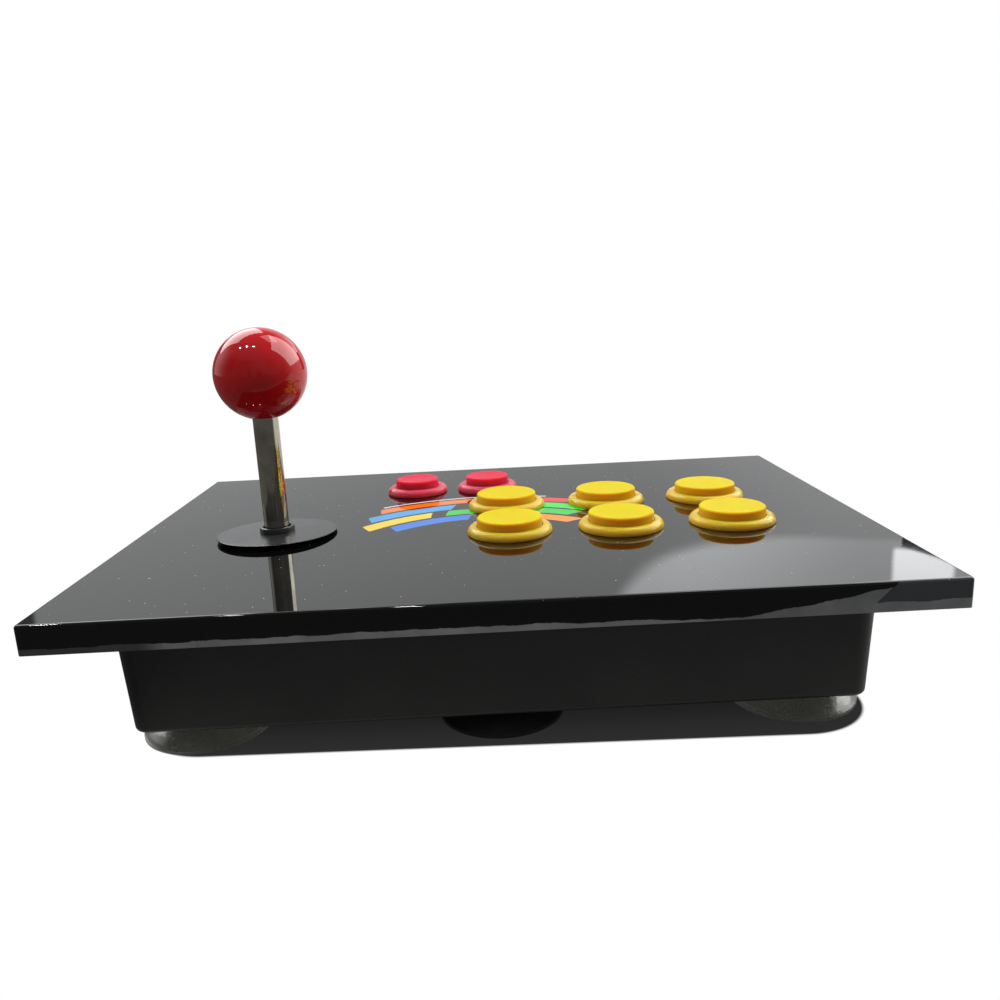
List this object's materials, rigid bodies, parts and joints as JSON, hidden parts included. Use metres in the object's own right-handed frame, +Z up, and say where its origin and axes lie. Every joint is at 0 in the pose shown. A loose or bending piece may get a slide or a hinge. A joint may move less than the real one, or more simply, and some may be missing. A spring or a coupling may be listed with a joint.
{
  "type": "arcade stick",
  "caption": "Table-top arcade stick: glossy black panel on a drafted tub with suction cups, ball-top lever with square gate, and round push buttons.",
  "frame": {"origin": "on the table, under the middle of the panel", "axes": "+X to the player's right, +Y away from the player, +Z up"},
  "size_m": [0.297, 0.21, 0.1437],
  "materials": {
    "panel_black": "high gloss black",
    "tub_black": "fine satin mould grain",
    "cup_clear": "clear soft vinyl",
    "cup_black": "black soft vinyl",
    "button_yellow": "satin moulded plastic",
    "button_red": "satin moulded plastic",
    "ball_red": "polished",
    "shaft_chrome": "polished chrome",
    "washer_black": "smooth moulded plastic",
    "nylon_white": "moulded nylon",
    "mechanism_black": "moulded nylon",
    "switch_black": "moulded case",
    "nut_black": "moulded plastic",
    "steel_zinc": "zinc plated",
    "board_green": "solder mask",
    "header_white": "moulded nylon",
    "grommet_rubber": "black rubber"
  },
  "bodies": {
    "base": {"base_tub": "tub_black", "board_components": "header_white", "board_screws": "steel_zinc", "cable_grommet": "grommet_rubber", "centring_spring": "steel_zinc", "encoder_board": "board_green", "gate_screws": "steel_zinc", "plate_nuts": "steel_zinc", "play_housing_back_left": "button_yellow", "play_housing_back_middle": "button_yellow", "play_housing_back_right": "button_yellow", "play_housing_front_left": "button_yellow", "play_housing_front_middle": "button_yellow", "play_housing_front_right": "button_yellow", "play_ring_nuts": "nut_black", "play_switch_back_left": "switch_black", "play_switch_back_middle": "switch_black", "play_switch_back_right": "switch_black", "play_switch_front_left": "switch_black", "play_switch_front_middle": "switch_black", "play_switch_front_right": "switch_black", "restrictor_gate": "mechanism_black", "start_housing_left": "button_red", "start_housing_right": "button_red", "start_ring_nuts": "nut_black", "start_switch_left": "switch_black", "start_switch_right": "switch_black", "stick_body": "mechanism_black", "stick_body_screws": "steel_zinc", "stick_plate": "steel_zinc", "stick_switch_back": "switch_black", "stick_switch_front": "switch_black", "stick_switch_left": "switch_black", "stick_switch_right": "switch_black", "suction_cup_back_left": "cup_clear", "suction_cup_back_middle": "cup_black", "suction_cup_back_right": "cup_clear", "suction_cup_front_left": "cup_clear", "suction_cup_front_middle": "cup_black", "suction_cup_front_right": "cup_clear", "top_panel": "panel_black", "tub_nuts": "steel_zinc"},
    "stick_pivot": {"pivot_bushing": "nylon_white"},
    "stick": {"ball_top": "ball_red", "stick_shaft": "shaft_chrome", "actuator": "nylon_white", "retaining_clip": "steel_zinc"},
    "washer_carrier": {"inner_dust_washer": "washer_black"},
    "dust_washer": {"dust_washer": "washer_black"},
    "play_plunger_front_left": {"play_plunger_front_left": "button_yellow"},
    "play_plunger_front_middle": {"play_plunger_front_middle": "button_yellow"},
    "play_plunger_front_right": {"play_plunger_front_right": "button_yellow"},
    "play_plunger_back_left": {"play_plunger_back_left": "button_yellow"},
    "play_plunger_back_middle": {"play_plunger_back_middle": "button_yellow"},
    "play_plunger_back_right": {"play_plunger_back_right": "button_yellow"},
    "start_plunger_left": {"start_plunger_left": "button_red"},
    "start_plunger_right": {"start_plunger_right": "button_red"}
  },
  "joints": [
    {"name": "stick_tilt_front_back", "type": "hinge", "parent": "base", "child": "stick_pivot", "pos_m": [-0.0883, -0.013, 0.045], "axis": [1, 0, 0], "range_deg": [-8, 8], "stiffness_Nm_per_rad": 0.9, "deforming": ["centring_spring"]},
    {"name": "stick_tilt_left_right", "type": "hinge", "parent": "stick_pivot", "child": "stick", "pos_m": [-0.0883, -0.013, 0.045], "axis": [0, 1, 0], "range_deg": [-8, 8], "stiffness_Nm_per_rad": 0.9, "deforming": ["centring_spring"]},
    {"name": "washer_slide_left_right", "type": "slide", "parent": "base", "child": "washer_carrier", "axis": [1, 0, 0], "range_m": [-0.0025, 0.0025]},
    {"name": "washer_slide_front_back", "type": "slide", "parent": "washer_carrier", "child": "dust_washer", "axis": [0, 1, 0], "range_m": [-0.0025, 0.0025]},
    {"name": "play_press_front_left", "type": "slide", "parent": "base", "child": "play_plunger_front_left", "axis": [0, 0, -1], "range_m": [0, 0.0025], "stiffness_N_per_m": 120, "springref_m": -0.0025},
    {"name": "play_press_front_middle", "type": "slide", "parent": "base", "child": "play_plunger_front_middle", "axis": [0, 0, -1], "range_m": [0, 0.0025], "stiffness_N_per_m": 120, "springref_m": -0.0025},
    {"name": "play_press_front_right", "type": "slide", "parent": "base", "child": "play_plunger_front_right", "axis": [0, 0, -1], "range_m": [0, 0.0025], "stiffness_N_per_m": 120, "springref_m": -0.0025},
    {"name": "play_press_back_left", "type": "slide", "parent": "base", "child": "play_plunger_back_left", "axis": [0, 0, -1], "range_m": [0, 0.0025], "stiffness_N_per_m": 120, "springref_m": -0.0025},
    {"name": "play_press_back_middle", "type": "slide", "parent": "base", "child": "play_plunger_back_middle", "axis": [0, 0, -1], "range_m": [0, 0.0025], "stiffness_N_per_m": 120, "springref_m": -0.0025},
    {"name": "play_press_back_right", "type": "slide", "parent": "base", "child": "play_plunger_back_right", "axis": [0, 0, -1], "range_m": [0, 0.0025], "stiffness_N_per_m": 120, "springref_m": -0.0025},
    {"name": "start_press_left", "type": "slide", "parent": "base", "child": "start_plunger_left", "axis": [0, 0, -1], "range_m": [0, 0.0025], "stiffness_N_per_m": 120, "springref_m": -0.0025},
    {"name": "start_press_right", "type": "slide", "parent": "base", "child": "start_plunger_right", "axis": [0, 0, -1], "range_m": [0, 0.0025], "stiffness_N_per_m": 120, "springref_m": -0.0025}
  ],
  "couplings": [
    {"joint": "washer_slide_left_right", "follows": "stick_tilt_left_right", "m_per_rad": 0.017},
    {"joint": "washer_slide_front_back", "follows": "stick_tilt_front_back", "m_per_rad": -0.017}
  ]
}
